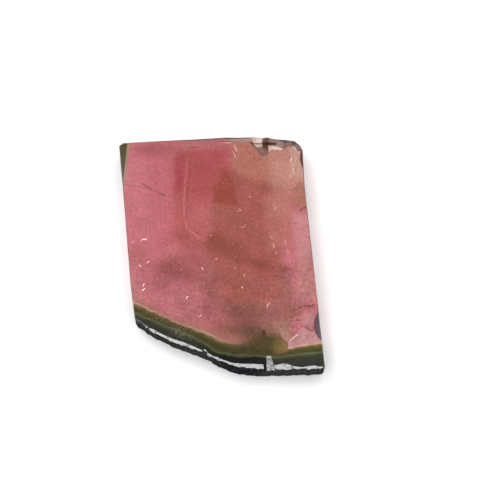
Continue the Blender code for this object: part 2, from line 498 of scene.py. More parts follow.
BREAKS = (
    # name, tip, widths at the tip and the far end, run, fall, tilt, turn, roughness
    ("top_notch", (3.49, 8.16, 3.2), (0.12, 2.3), 1.35, 26, 0, 1, 0.09),
    ("rind_gap", (3.56, -9.2, 3.2), (0.24, 0.26), 1.1, 66, 0, 183, 0.03),
    ("rind_step", (3.86, -8.67, 3.2), (0.38, 0.8), 1.6, 40, 0, 189, 0.02),
    ("rind_notch_rim", (-1.37, -8.12, 3.2), (0.1, 1.1), 0.75, 38, 0, 184, 0.03),
    ("rind_notch", (-1.38, -8.27, 3.3), (0.34, 1.7), 3.6, -1.6, -90, 156, 0.09),
)
BREAK_CLEARANCE = 0.8
BREAK_CUTS = 2
BREAK_GRAIN = 1.7
# without a seed, noise_vector would shape the breaks anew on each run
BREAK_SEED = 1795467466
FINE_CUTS = 7
FINE_GRAIN = 7.0
RIPPLE_SHARE = 0.06
RIPPLE_SPACING = 0.16
RING_SHARE = 0.5


def ripple(shape, origin, height):
    """Divides a cutter finely and adds the faint rings that run out from where a break began."""
    bmesh.ops.subdivide_edges(shape, edges=shape.edges, cuts=FINE_CUTS, use_grid_fill=True)
    shape.normal_update()
    for vert in shape.verts:
        rings = math.sin(math.tau * (vert.co - origin).length / RIPPLE_SPACING)
        rough = noise.noise(vert.co * FINE_GRAIN + origin)
        vert.co += vert.normal * height * (RING_SHARE * rings + rough)


def cutter(name, shape, centre, turn, tilt=0.0):
    """A cutting object from a bmesh in millimetres."""
    for vert in shape.verts:
        vert.co *= MM
    tool = mesh_from(name, shape)
    tool.location = Vector(centre) * MM
    tool.rotation_euler = (math.radians(tilt), 0, math.radians(turn))
    return tool


def scoop(name, centre, radii, turn, facets):
    """A faceted ellipsoid with a rippled skin, for a shell-shaped break."""
    lump = bmesh.new()
    bmesh.ops.create_icosphere(lump, subdivisions=facets + 1, radius=1.0)
    for vert in lump.verts:
        vert.co *= 1 + CHIP_ROUGHNESS * noise.noise(vert.co * CHIP_GRAIN + Vector(centre))
        vert.co = Vector([c * r for c, r in zip(vert.co, radii)])
    ripple(lump, Vector((radii[0], 0.0, 0.0)), RIPPLE_SHARE * CHIP_ROUGHNESS)
    return cutter(name, lump, centre, turn)


def flat_break(name, tip, widths, run, fall, tilt, turn, roughness):
    """A box that widens away from its tip, with a falling floor, for a flat-floored notch."""
    box = bmesh.new()
    bmesh.ops.create_cube(box, size=1.0)
    floor_drop = -run * math.tan(math.radians(fall))
    for vert in box.verts:
        far = vert.co.y > 0
        height = BREAK_CLEARANCE if vert.co.z > 0 else (floor_drop if far else 0.0)
        vert.co = Vector((vert.co.x * widths[far], run if far else 0.0, height))
    bmesh.ops.subdivide_edges(box, edges=box.edges, cuts=BREAK_CUTS, use_grid_fill=True)
    for vert in box.verts:
        vert.co += roughness * noise.noise_vector(vert.co * BREAK_GRAIN + Vector(tip))
    bmesh.ops.triangulate(box, faces=box.faces)
    ripple(box, Vector((0.0, 0.0, 0.0)), RIPPLE_SHARE * roughness)
    return cutter(name, box, tip, turn, tilt)


def cut_away(stone, tools):
    """Cuts every tool out of the stone, and removes the tools."""
    for tool in tools:
        cut = stone.modifiers.new(tool.name, "BOOLEAN")
        cut.operation = "DIFFERENCE"
        cut.solver = "EXACT"
        cut.object = tool
    shape = stone.evaluated_get(bpy.context.evaluated_depsgraph_get())
    finished = bpy.data.meshes.new_from_object(shape)
    stone.modifiers.clear()
    stone.data = finished
    for tool in tools:
        bpy.data.objects.remove(tool)


noise.seed_set(BREAK_SEED)
cut_away(stone, [scoop(*chip) for chip in CHIPS] + [flat_break(*broken) for broken in BREAKS])
print(len(stone.data.polygons), "faces with the chips")

# %% [markdown]
# ## Reading colours off the crystal
#
# A polished stone shows three things added up: the sky mirrored in its polish, the colour that the cloudy
# crystal scatters back, and light that goes through, meets the floor, and crosses the colour again. The
# three shares were measured on plain grey slices. With them, a quadratic turns the colour that should be
# seen into the base colour that shows as it.

# %% Colours as the crystal shows them
CLEARNESS, RIND_CLEARNESS = 0.45, 0.1
SKY_SHEEN = 0.0145
SCATTERED = 1.31
THROUGH = (0.359, 0.173, 0.175)
DARKEST = 0.001


def linear(value):
    """A 0-255 screen value as an amount of light."""
    value /= 255
    return value / 12.92 if value <= 0.04045 else ((value + 0.055) / 1.055) ** 2.4


def crystal(red, green, blue, clearness=CLEARNESS):
    """The base colour of a zone that shows as this 0-255 colour on the polished face."""
    base = []
    for value, through in zip((red, green, blue), THROUGH):
        wanted = max(linear(value) - SKY_SHEEN, DARKEST)
        a, b = clearness * through, SCATTERED * (1 - clearness)
        base.append(min((math.sqrt(b * b + 4 * a * wanted) - b) / (2 * a), 1.0))
    return (*base, 1.0)


def rind_colour(shade):
    """The same for the rind, which is far less clear."""
    return crystal(*shade, RIND_CLEARNESS)


ROSE = (210, 115, 124)
print("rose shows from base", [round(c, 2) for c in crystal(*ROSE)[:3]])

# %% [markdown]
# ## Where a zone lies
#
# Colour zones are walls that stand along the crystal's length, so each can be drawn on the flat face and
# carried straight down. The saw ran a few degrees off square, so the height shifts the drawing a little.
# Slow noise then moves every line by a hair, since nothing grown is ruled. Four kinds of mask do all the
# drawing: a soft oval, a straight-sided patch, a stroke, and the height of a line through a few points.

# %% Masks drawn in millimetres
SAW_LEAN = 0.139
WANDER, WANDER_PER_MM, WANDER_DETAIL = 0.24, 0.9, 3.0
HALF = (0.5, 0.5, 0.5)
DRAWING_HALF = 10.0
OVAL_CORE = 0.1
# the softness, in mm, of an edge that looks sharp
CRISP = 0.05


def drawing_place(tree):
    """The place in the stone in mm, and the place on the flat drawing: straight, and wandering."""
    in_mm = vector("MULTIPLY", add("TexCoord", tree=tree, out=3), (1 / MM,) * 3)
    x = part(in_mm, 0)
    up = vector("DOT_PRODUCT", in_mm, (0.0, 1.0, SAW_LEAN))
    flat = add("CombineXYZ", x, calc("SUBTRACT", up, SAW_LEAN * THICKNESS), 0.0)
    drift = vector("SUBTRACT", add("TexNoise", flat, None, WANDER_PER_MM, WANDER_DETAIL, out=1), HALF)
    return in_mm, flat, vector("ADD", flat, vector("MULTIPLY", drift, (2 * WANDER, 2 * WANDER, 0.0)))


def shifted(place, offset):
    """The same place seen in another part of the noise, so that two masks don't match."""
    return vector("ADD", place, (offset, 0.0, 0.0)) if offset else place


def band(value, rise, fall):
    """1 between the end of the rise and the end of the fall, with soft sides."""
    return times(ease(value, *rise), ease(value, *fall))


def oval(place, centre, radii, turn=0.0):
    """1 in the middle of an oval, fading to 0 at its edge."""
    angles = (0.0, 0.0, math.radians(turn))
    around = add("Mapping", place, (*centre, 0.0), angles, (*radii, 1.0), vector_type="TEXTURE")
    return ease(vector("LENGTH", around), OVAL_CORE, 1.0, 1.0, 0.0)


def patch(place, corners, softness):
    """1 inside a straight-sided patch, whose corners run anticlockwise, and 0 outside it."""
    sides = []
    for i, corner in enumerate(corners):
        start, end = Vector(corners[i - 1]), Vector(corner)
        inward = Vector((start.y - end.y, end.x - start.x)).normalized()
        inside = vector("DOT_PRODUCT", place, (*inward, 0.0))
        edge = inward.dot(start)
        side = ease(inside, edge - softness, edge + softness)
        sides = [calc("MINIMUM", *sides, side) if sides else side]
    return sides[0]


def stroke(place, points, width):
    """1 on a line through the points, and 0 at half its width away."""
    nearest = None
    for start, end in zip(points, points[1:]):
        run = Vector((end[0] - start[0], end[1] - start[1], 0.0))
        away = vector("SUBTRACT", place, (*start, 0.0))
        share = calc("MULTIPLY", vector("DOT_PRODUCT", away, run / run.length_squared), 1.0, use_clamp=True)
        foot = add("VectorMath", run, None, None, share, operation="SCALE")
        distance = vector("LENGTH", vector("SUBTRACT", away, foot))
        nearest = distance if nearest is None else calc("MINIMUM", nearest, distance)
    return ease(nearest, 0.0, width / 2, 1.0, 0.0)


def drawn_line(x, points):
    """The height at x of a line through these points, in mm."""
    height = add("FloatCurve", None, scale(x, -DRAWING_HALF, DRAWING_HALF))
    curve = height.node.mapping
    line = curve.curves[0]
    spots = [[(value + DRAWING_HALF) / (2 * DRAWING_HALF) for value in point] for point in points]
    line.points[0].location, line.points[1].location = spots[0], spots[-1]
    for spot in spots[1:-1]:
        line.points.new(*spot)
    curve.update()
    return scale(height, 0.0, 1.0, -DRAWING_HALF, DRAWING_HALF)


print("the saw's lean is", round(math.degrees(math.atan(SAW_LEAN)), 1), "degrees")

# %% [markdown]
# ## The pink heart
#
# The core is rose pink, but a crystal seldom grows in one colour. Each change of the liquid it grew from
# left a sector: a red column, a brown heart, a tan corner. They are listed as a painter would lay them
# down, broad ones first, each with its colour, its outline and how firmly it covers. The brighter corner
# and two growth lines, one light and one dark, come last.

# %% Sectors of the heart
SECTORS = (
    # colour, corners, softness, strength
    ((206, 108, 117), ((-6, 9.9), (-6, 5), (-5.2, 0.5), (-3.4, 0.5), (-3.4, 9.9)), 0.7, 0.8),
    ((197, 102, 104), ((-4.2, 9.9), (-4.2, 0.8), (-3.4, 0.4), (-0.9, 0.4), (-0.9, 9.9)), 0.5, 0.9),
    ((191, 95, 97), ((-4, 9.2), (-3.95, 4.4), (-2.6, 3.6), (-0.7, 4.2), (0.8, 6.6), (1.3, 9.2)), 0.65, 1),
    ((179, 84, 84), ((-3.9, 8.7), (-3.9, 5.4), (-3, 5), (-1, 5), (0.1, 7.2), (0.2, 8.7)), 0.35, 0.8),
    ((176, 76, 86), ((-3.85, 8.6), (-3.9, 5.2), (-3.3, 5), (-3, 8.6)), 0.25, 0.7),
    ((188, 96, 94), ((-3.9, 5.2), (-3.7, 1.2), (-2.9, 0.7), (-3.25, 5.2)), 0.25, 0.9),
    ((178, 92, 90), ((-3.7, 1.5), (-3.2, 0.5), (-1.2, -0.2), (-1.3, 0.8), (-2.9, 1.9)), 0.3, 0.9),
    ((176, 100, 98), ((-1.3, 0.8), (-1.9, -2), (-0.9, -7.2), (2, -7.6), (3, 0.8)), 0.7, 0.95),
    ((171, 103, 98), ((2, -0.5), (2, -7.4), (5.2, -7.2), (7, -4.9), (5.9, -2.6), (5.6, -0.5)), 0.6, 0.95),
    ((172, 94, 85), ((-0.75, 5), (-1.15, 0.2), (0.5, -4.2), (4.6, -4), (5.4, 5.8), (0.9, 7.4)), 0.45, 1),
    ((195, 115, 108), ((3.5, 4.6), (3.9, 0.2), (5.9, 0.2), (6.2, 5.4), (5, 5.6)), 0.6, 0.9),
    ((188, 116, 101), ((0.8, 9.99), (0.85, 7.4), (1.7, 6.4), (3.2, 6.1), (4.3, 5.7), (4.5, 9.99)), 0.4, 1),
    ((202, 140, 124), ((3.9, 9.99), (4, 5.8), (5.2, 5.2), (7.4, 5.6), (7.4, 9.99)), 0.6, 0.9),
    ((212, 158, 143), ((5.7, 9), (5.7, 6.4), (7.4, 6.4), (7.4, 9)), 0.35, 0.8),
    ((160, 76, 67), ((-0.8, 5.5), (-0.65, 4.3), (0.4, 3.95), (1.3, 4.1), (0.95, 6), (0.3, 7.4)), 0.25, 0.9),
    ((182, 119, 101), ((5.9, 5.5), (6.1, 3.9), (7.4, 3.9), (7.2, 6)), 0.15, 0.9),
    ((216, 139, 141), ((5.8, 3.4), (6.3, -0.6), (8.6, -0.6), (8, 3.4)), 0.35, 0.95),
    ((201, 128, 126), ((6.1, -0.3), (6.2, -4.2), (8.8, -4.2), (8.4, -0.3)), 0.4, 0.95),
)
CLOUDS = (
    # colour, centre, radii, turn, strength
    ((186, 109, 112), (-3.6, -4.4), (4.2, 2), -24, 0.8),
    ((190, 113, 117), (-2.4, -5.4), (2.4, 1.3), -24, 0.8),
    ((178, 100, 104), (-4.6, -2), (3.2, 2), -8, 0.9),
    ((179, 97, 97), (-2.6, -0.6), (3, 1.5), -6, 0.9),
    ((156, 84, 84), (-4.3, -1.15), (2, 1.2), 4, 0.8),
    ((156, 84, 84), (-3, -1.8), (1.9, 0.9), -20, 0.8),
    ((184, 108, 106), (-6.9, -0.1), (1.6, 1.5), 0, 0.7),
    ((196, 126, 127), (-7.4, -3.2), (1.3, 2.2), 0, 0.8),
    ((180, 97, 105), (-5.6, 8.7), (3.2, 1.1), -4, 0.9),
    ((186, 112, 112), (-1.8, 9.3), (4.2, 0.8), 2, 0.9),
    ((152, 78, 69), (-0.6, 0.9), (1.5, 1.3), 20, 0.9),
    ((151, 82, 72), (0.8, 0.2), (2.4, 1.4), -20, 0.9),
    ((152, 82, 73), (2.6, -0.8), (3.4, 0.75), -13, 1.1),
    ((158, 88, 80), (4.9, -1.45), (1.7, 0.45), -4, 0.9),
    ((168, 96, 92), (-1.4, -2.6), (1.9, 1.6), 0, 0.7),
    ((170, 98, 93), (3.2, -2.6), (2.4, 0.9), -10, 0.7),
    ((139, 86, 76), (1.9, -5), (2.7, 2), -8, 0.9),
    ((176, 99, 103), (-1.2, -5), (1.3, 1.5), 0, 0.9),
    ((140, 90, 80), (0.7, -6.5), (1.3, 0.9), 0, 0.9),
    ((160, 99, 90), (5.6, -4.9), (1.8, 1), 0, 0.9),
    ((200, 127, 117), (4.9, 4.2), (1.5, 2.2), 8, 0.7),
    ((208, 140, 142), (7.3, -5.6), (1.2, 0.9), 0, 1),
    ((114, 80, 66), (2.5, -6.75), (2.3, 1.2), -4, 1.1),
    ((174, 125, 111), (5, -6.4), (1.3, 0.9), -14, 1.1),
    ((192, 140, 125), (5.2, -7.1), (0.8, 0.6), -40, 1.3),
    ((178, 118, 108), (-6.4, -4.5), (1.2, 0.9), -25, 0.8),
    ((142, 101, 86), (3.9, -6.25), (0.9, 0.75), 0, 0.9),
)
FRESH_CORNER = ((5.45, -8.8), (7.0, -8.8), (8.9, -7.9), (7.4, -6.5), (6.72, -6.2), (5.42, -7.6))
FRESH_PINK = (216, 149, 151)
LIGHT_GROWTH = ((-2.83, 8.3), (-3.08, 5.9), (-3.17, 4.5), (-3.12, 2.8), (-2.88, 2.0), (-1.55, 1.0))
DARK_GROWTH = ((-2.6, 7.2), (-2.8, 5.6), (-2.95, 4.2), (-2.92, 2.9), (-2.64, 2.15), (-1.4, 1.25))
# colour, points, width
GROWTH_LINES = (((214, 124, 120), LIGHT_GROWTH, 0.3), ((160, 74, 72), DARK_GROWTH, 0.22))
LINE_WANDER = 0.3
# size of the gaps in mm, and how a line fades through them
LINE_GAPS, LINE_FADES = 0.5, (0.35, 0.65, 0.1, 0.75)


def pink_heart(flat, place):
    """Lays the sectors and clouds over the rose, in order, and then the fresh corner and the growth lines."""
    colour = crystal(*ROSE)
    for shade, corners, softness, strength in SECTORS:
        colour = over(colour, crystal(*shade), times(patch(place, corners, softness), strength))
    for shade, centre, radii, turn, strength in CLOUDS:
        mask = calc("MULTIPLY", oval(place, centre, radii, turn), strength, use_clamp=True)
        colour = over(colour, crystal(*shade), mask)
    colour = over(colour, crystal(*FRESH_PINK), patch(flat, FRESH_CORNER, CRISP))
    nearly_flat = add("Mix", LINE_WANDER, None, None, None, flat, place, data_type="VECTOR", out=1)
    for shade, points, width in GROWTH_LINES:
        broken = scale(grain(flat, LINE_GAPS), *LINE_FADES)
        colour = over(colour, crystal(*shade), times(stroke(nearly_flat, points, width), broken))
    return colour


print(len(SECTORS), "sectors and", len(CLOUDS), "clouds")

# %% [markdown]
# ## Grain in the crystal
#
# Even a clean slice is full of threads and bubbles too small to see one by one. They make the colour
# uneven, from slow clouds down to a fine mottle, and more so towards the rind. Multiplying by noise near 1
# keeps the hue, where mixing in grey would dull it. Grains strewn in loose fields like pepper finish it.

# %% Mottle
MOTTLES = (
    # size in mm, detail, how far the brightness swings
    (1.6, 4, 0.5),
    (0.3, 3, 0.52),
    (0.1, 2, 0.42),
)
PEPPER = (
    # colour, offset of the noise, size of a grain and of its fields in mm
    ((140, 68, 72), 13, 0.2, 1.6),
    ((146, 76, 78), 47, 0.12, 2.5),
    ((216, 146, 126), 29, 0.15, 2.2),
)
PEPPER_GRAINS, PEPPER_FIELDS = (0.62, 0.72, 0.0, 0.6), (0.42, 0.6)
# y where the mottle is plain and where it is roughest, and how much it grows
ROUGHER_TOWARDS, ROUGHER = (1.0, -4.0), 1.75


def mottled(colour, place):
    """Multiplies the colour by each mottle, then strews dark and pale grains over it."""
    boost = ease(part(place, 1), *ROUGHER_TOWARDS, 1.0, ROUGHER)
    for size, detail, swing in MOTTLES:
        uneven = times(calc("SUBTRACT", grain(place, size, detail), 0.5), boost)
        colour = shaded(colour, calc("MULTIPLY_ADD", uneven, swing, 1.0))
    for shade, offset, size, field in PEPPER:
        moved = shifted(place, offset)
        grains = ease(grain(moved, size, 1.0), *PEPPER_GRAINS)
        colour = over(colour, crystal(*shade), times(grains, ease(grain(moved, field), *PEPPER_FIELDS)))
    return colour


print(len(MOTTLES), "mottles and", len(PEPPER), "kinds of grain")

# %% [markdown]
# ## The green rind
#
# Near the crystal's skin the colour turns in thin coats: a pale peach line, olive, one light line, then
# grey-green down to black. Two drawn lines fix where the pink ends and where the light line runs. The coats
# need only the share of the way between the two, so one colour ramp can hold them all.

# %% Coats of the rind
PINK_ENDS = (
    (-10, -3.3), (-7.33, -4.25), (-5.58, -5.03), (-3.53, -5.96), (-1.19, -6.86), (-0.17, -7.38),
    (0.67, -7.64), (1.6, -7.72), (3.5, -8), (5.47, -8.08), (6.5, -7.9), (8.23, -7.66), (10, -7.3),
)
LIGHT_LINE = (
    (-10, -4), (-7.17, -5.07), (-5.25, -5.89), (-2.67, -6.95), (-1.5, -7.51), (-0.42, -8.25),
    (1, -8.55), (2.33, -8.63), (4.67, -8.72), (5.67, -8.6), (8.3, -8.32), (10, -7.9),
)
COATS = (
    # share, colour
    (-2.2, (52, 53, 50)),
    (-1.1, (58, 58, 52)),
    (-0.6, (57, 58, 50)),
    (-0.28, (66, 67, 54)),
    (-0.12, (84, 85, 66)),
    (0.02, (98, 98, 72)),
    (0.16, (74, 74, 50)),
    (0.45, (78, 75, 42)),
    (0.7, (92, 82, 52)),
    (0.86, (118, 100, 70)),
    (1, (160, 131, 103)),
    (1.12, (200, 158, 135)),
)
WAVER_SIZE, COAT_WAVER = (0.7, 5.0), (0.25, 0.75, -0.13, 0.13)


def rind_share(flat):
    """How far a place is from the light line (0) towards the pink (1), and below 0 outside the line."""
    x = part(flat, 0)
    light = drawn_line(x, LIGHT_LINE)
    width = calc("SUBTRACT", drawn_line(x, PINK_ENDS), light)
    share = calc("DIVIDE", calc("SUBTRACT", part(flat, 1), light), width)
    return calc("ADD", share, scale(grain(flat, *WAVER_SIZE), *COAT_WAVER))


def coats(share):
    """The rind's colour for its share, from a colour ramp."""
    low, high = COATS[0][0], COATS[-1][0]
    colour = add("ValToRGB", scale(share, low, high))
    stops = colour.node.color_ramp.elements
    for i, (place, shade) in enumerate(COATS):
        position = (place - low) / (high - low)
        stop = stops[i] if i < 2 else stops.new(position)
        stop.position = position
        stop.color = rind_colour(shade)
    return colour


print(len(COATS), "coats")

# %% [markdown]
# ## Detail in the rind
#
# The coats are uneven. Thin streaks cross them, the outermost is nearly black in the middle, and grains
# break up the olive on the left. On the right the olive swells up into the pink and stops dead at an old
# crack. Moving the drawing by coarse noise, before the stain's patches are laid, tears its edge.

# %% Streaks, grains and the olive bulge
BLACK_MIDDLE, NEAR_BLACK, MIDDLE_SHADE = ((-2.6, 0.2), (4.4, 3.4)), (38, 40, 37), 0.8
OUTERMOST = (-0.1, -0.3)
COAT_STREAKS, STREAK_SHADES = (0.35, 3.0, (0.45, 1.6, 1.0)), (0.3, 0.7, 0.75, 1.27)
LIGHT_END = (5.0, 5.8, 0.0, 0.18)
LEFT_GRAIN = 0.13
LEFT_X, LEFT_END, LEFT_SHARE = (-1.6, -3.0), (-6.6, -5.6, 0.3, 1.0), (0.1, 0.55)
LEFT_GRAINS = (
    # colour, offset of the noise, where a grain starts and is full, strength
    ((140, 108, 88), 0, 0.52, 0.62, 0.8),
    ((52, 50, 33), 31, 0.54, 0.64, 0.7),
)
PALE_CLOUD = ((-3.45, -6.76), (1.5, 0.5), -27.0)
CLOUD_COLOUR, CLOUD_GRAIN, CLOUD_FADES = (112, 108, 92), (0.2, 3.0), (0.4, 0.6)
BULGE = (
    # colour, corners
    ((86, 74, 50), ((1.1, -8.9), (5.9, -8.9), (5.7, -8), (5, -7.2), (4.5, -6.75), (3.7, -6.75), (2.4, -7.3))),
    ((122, 103, 61), ((4.2, -8.5), (5, -8.7), (6, -8.5), (5.7, -8), (5.1, -7.4), (4.5, -7.2))),
    ((154, 124, 82), ((4.9, -8.15), (5.9, -8.2), (5.8, -7.9), (5.2, -7.5))),
    ((64, 62, 40), ((0.2, -8.9), (5.9, -8.9), (5.4, -8.6), (3.6, -8.3), (2.4, -8.1), (1.2, -8.1))),
)
BULGE_SOFTNESS, CRACK_SOFTNESS = 0.5, 0.07
BULGE_SHARE, BULGE_GRAIN, BULGE_SHADES = (0.15, 0.5), (0.3, 4.0), (0.3, 0.7, 0.78, 1.24)
BULGE_HALO, HALO_COLOUR = ((2.7, -8.2), (3.0, 2.1)), (106, 82, 64)
BULGE_SPOT, SPOT_COLOUR = ((3.5, -6.75), (0.42, 0.26), -40.0), (76, 58, 42)
BULGE_REACH = ((-1.5, -9.9), (5.42, -9.9), (5.42, -7.64), (4.6, -6.7), (3.0, -4.9), (-1.5, -4.5))
BULGE_TEAR, TEARS_PER_MM, TEAR_DETAIL = 0.9, 2.2, 4.0


def rind_detail(colour, share, flat):
    """The near-black middle, the streaks, the grains on the left, and a pale cloud among them."""
    x = part(flat, 0)
    middle = band(x, *BLACK_MIDDLE)
    colour = over(colour, rind_colour(NEAR_BLACK), times(middle, ease(share, *OUTERMOST)))
    streaks = scale(grain(flat, *COAT_STREAKS), *STREAK_SHADES)
    shade = calc("ADD", scale(middle, 0.0, 1.0, 1.0, MIDDLE_SHADE), ease(x, *LIGHT_END))
    colour = shaded(colour, times(streaks, shade))
    left = times(ease(x, *LEFT_X), ease(share, *LEFT_SHARE), ease(x, *LEFT_END))
    for shade, offset, low, high, strength in LEFT_GRAINS:
        grains = ease(grain(shifted(flat, offset), LEFT_GRAIN), low, high)
        colour = over(colour, rind_colour(shade), times(grains, left, strength))
    cloud = times(oval(flat, *PALE_CLOUD), ease(grain(flat, *CLOUD_GRAIN), *CLOUD_FADES))
    return over(colour, rind_colour(CLOUD_COLOUR), cloud)


def olive_bulge(colour, share, flat, place):
    """The torn stain with its yellow part and dark spot. Returns the colour, and where the stain is."""
    inside = times(ease(share, *BULGE_SHARE), patch(flat, BULGE_REACH, CRACK_SOFTNESS))
    drift = vector("SUBTRACT", add("TexNoise", place, None, TEARS_PER_MM, TEAR_DETAIL, out=1), HALF)
    torn = vector("ADD", place, vector("MULTIPLY", drift, (BULGE_TEAR,) * 3))
    stains = [(HALO_COLOUR, oval(torn, *BULGE_HALO))]
    stains += [(shade, patch(torn, corners, BULGE_SOFTNESS)) for shade, corners in BULGE]
    stains += [(SPOT_COLOUR, oval(place, *BULGE_SPOT))]
    cover = 0.0
    for shade, shape in stains:
        mask = times(shape, inside)
        cover = calc("MAXIMUM", cover, mask)
        colour = over(colour, rind_colour(shade), mask)
    uneven = scale(grain(place, *BULGE_GRAIN), *BULGE_SHADES)
    return shaded(colour, mix(cover, 1.0, uneven)), cover


print(len(BULGE) + 2, "stains in the bulge")

# %% [markdown]
# ## Edges, their film and painted light
#
# Past the face's rim the sawn chamfer is dark, and the breaks along the top and right edges carry a thin
# grey-brown film. Its lighter and darker patches are partly its own colour and partly painted reflections
# of the break facets: three pale places are painted highlights where facets catch the light, and the dark
# line along the top bevel and the notch's darker left side are painted shade. The film lies wherever the
# surface is lower than the face but still looks up, and in the notch.
# The rind's wall is the crystal's own skin.

# %% Film on the edges
RIM = (108, 62, 64)
TOP_FILM = ((-0.9, 10.4), (-0.9, 7.3), (8.5, 7.3), (8.5, 10.4))
NOTCH = ((2.2, 9.9), (3.3, 7.8), (4.6, 8.6), (5.4, 9.0), (5.4, 9.6))
EDGE_FILM_AND_PAINTED_LIGHT = (
    # colour, corners, softness
    ((126, 88, 74), TOP_FILM, 0.2),
    ((160, 120, 112), ((-1.2, 10.4), (-1.2, 9.4), (2.2, 9.2), (2.6, 9.5), (2.4, 10.4)), 0.08),
    # painted shade: the dark line along the top bevel
    ((72, 48, 50), ((-2.6, 10.4), (-2.6, 9.62), (0.4, 9.78), (2.4, 9.96), (2.4, 10.4)), 0.05),
    ((116, 62, 46), ((2.4, 9.4), (3.45, 7.9), (4.1, 8.8), (3.95, 9.4)), 0.05),
    # painted shade on the notch's darker left side
    ((94, 46, 36), ((2.7, 9.1), (3.45, 7.9), (3.6, 8.1), (3.15, 9.1)), 0.12),
    # painted highlight: a break facet that catches the light
    ((222, 190, 178), ((2.5, 9.95), (2.6, 9.4), (2.95, 9.14), (3.4, 9.2), (3.5, 9.95)), 0.03),
    ((92, 66, 56), ((3.4, 10.1), (3.35, 9.1), (4, 9.1), (3.9, 10.1)), 0.06),
    # painted highlight: a second break facet that catches the light
    ((238, 200, 186), ((3.86, 9.35), (3.9, 8.7), (4.9, 8.62), (5.25, 8.85), (4.3, 9.35)), 0.03),
    ((52, 32, 26), ((3.3, 10.4), (3.4, 9.66), (5.3, 9.5), (6, 9.2), (6.6, 9.1), (7.5, 10.4)), 0.1),
    ((76, 50, 42), ((5.5, 10.3), (5.7, 9.5), (6.5, 9.1), (7.5, 9.1), (7.2, 10.3)), 0.08),
    ((104, 58, 52), ((6.35, 8.9), (6.35, 7.3), (7.6, 7.3), (7.6, 8.9)), 0.06),
    # painted highlight: the glint on the top right corner
    ((226, 196, 186), ((5.8, 9.2), (6.1, 8.75), (6.32, 8.7), (6.12, 9.15)), 0.03),
    ((100, 76, 84), ((7, -4.6), (7, -7.8), (9, -7.8), (9, -4.6)), 0.1),
)
FILM_STARTS, FILM_FADE = THICKNESS - 0.02, 0.03
LOOKS_UP = (0.25, 0.4)
FILM_GRAIN, FILM_SHADES = (0.3, 3.0), (0.3, 0.7, 0.8, 1.2)
FILM_HALF = (0.5 * THICKNESS, 0.55 * THICKNESS)
SKIN, SKIN_MIDDLE = (0.062, 0.066, 0.066, 1.0), (0.006, 0.008, 0.014, 1.0)
SKIN_STREAKS = (0.25, 3.0, (1.6, 1.6, 0.2))
SKIN_SHADES, DARK_STREAKS = (0.35, 0.65, 0.45, 1.0), (0.7, 0.52, 0.2, 1.0)
DARK_SKIN = ((-1.0, 0.5), (3.7, 2.9))
WALL_STANDS = (0.45, 0.25)


def edge_film(colour, in_mm, upright, rind):
    """The rim and the film, with painted highlights and shade. Returns the colour and where the face ended.
    """
    height = part(in_mm, 2)
    lower = ease(height, FILM_STARTS - FILM_FADE, FILM_STARTS, 1.0, 0.0)
    looks_up = calc("MAXIMUM", ease(upright, *LOOKS_UP), patch(in_mm, NOTCH, CRISP))
    off_face = times(lower, looks_up, calc("SUBTRACT", 1.0, rind))
    front = ease(height, *FILM_HALF)
    colour = over(colour, crystal(*RIM), off_face)
    film = times(off_face, front)
    for shade, corners, softness in EDGE_FILM_AND_PAINTED_LIGHT:
        colour = over(colour, crystal(*shade), times(patch(in_mm, corners, softness), film))
    cloudy = scale(grain(in_mm, *FILM_GRAIN), *FILM_SHADES)
    return shaded(colour, mix(film, 1.0, cloudy)), off_face


def rind_wall(colour, in_mm, upright, rind):
    """The crystal's own skin: grey, streaked along its length, and blue-black in the middle."""
    ridges = grain(in_mm, *SKIN_STREAKS)
    streaks = ease(ridges, *SKIN_SHADES)
    middle = times(band(part(in_mm, 0), *DARK_SKIN), ease(ridges, *DARK_STREAKS))
    skin = over(shaded(SKIN, streaks), SKIN_MIDDLE, middle)
    return over(colour, skin, times(ease(upright, *WALL_STANDS), rind))


print(len(EDGE_FILM_AND_PAINTED_LIGHT), "colours on the edges")

# %% [markdown]
# ## The colour of the whole stone
#
# The zones are laid on from the inside out: the heart with its mottle, a warm hem, the rind, the bulge, the
# remnant of rind at the top left corner, and last what lies on the crystal, its film and its skin. The
# masks are kept, because the rind and the film also change how clear and how shiny the stone is.

# %% Lay the zones over one another
RIND_STARTS = (1.08, 1.26)
HEM, HEM_FADES, HEM_ENDS = (166, 112, 98), (2.2, 1.1), (5.2, 5.6, 0.6, 0.0)
CORNER_RIND, OLIVE = ((-9.5, 9.99), (-9.5, 5.4), (-8.3, 5.4), (-7.85, 9.99)), (84, 76, 50)
CORNER_PEACH, PEACH = ((-9.5, 9.99), (-9.5, 5.4), (-8.15, 5.4), (-7.55, 9.99)), (172, 132, 112)


def stone_colour(in_mm, flat, place, upright):
    """The colour, and the masks of the rind, the bulge and the film."""
    share = rind_share(flat)
    rind = ease(share, *RIND_STARTS, 1.0, 0.0)
    corner = patch(flat, CORNER_RIND, CRISP)
    colour = mottled(pink_heart(flat, place), flat)
    hem = times(ease(share, *HEM_FADES), scale(part(flat, 0), *HEM_ENDS))
    colour = over(colour, crystal(*HEM), hem)
    colour = over(colour, crystal(*PEACH), patch(flat, CORNER_PEACH, CRISP))
    colour = over(colour, rind_detail(coats(share), share, flat), rind)
    colour, bulge = olive_bulge(colour, share, flat, place)
    colour = over(colour, rind_colour(OLIVE), corner)
    rind = calc("MAXIMUM", rind, corner)
    colour, film = edge_film(colour, in_mm, upright, rind)
    return rind_wall(colour, in_mm, upright, rind), rind, bulge, film


print("layers: mottled pink, hem, peach corner, rind with its coats, bulge, olive corner, film, wall")


# %% [markdown]
# ## Shine
#
# Only the flat faces and the bevel are polished. The sawn sides are frosted, the film is dull, and the
# rind's wall keeps the gloss it grew with. The bevel mirrors a long light, so each scuff in its polish
# shows as a grey gap in the white band, which keeps the band from looking painted on.

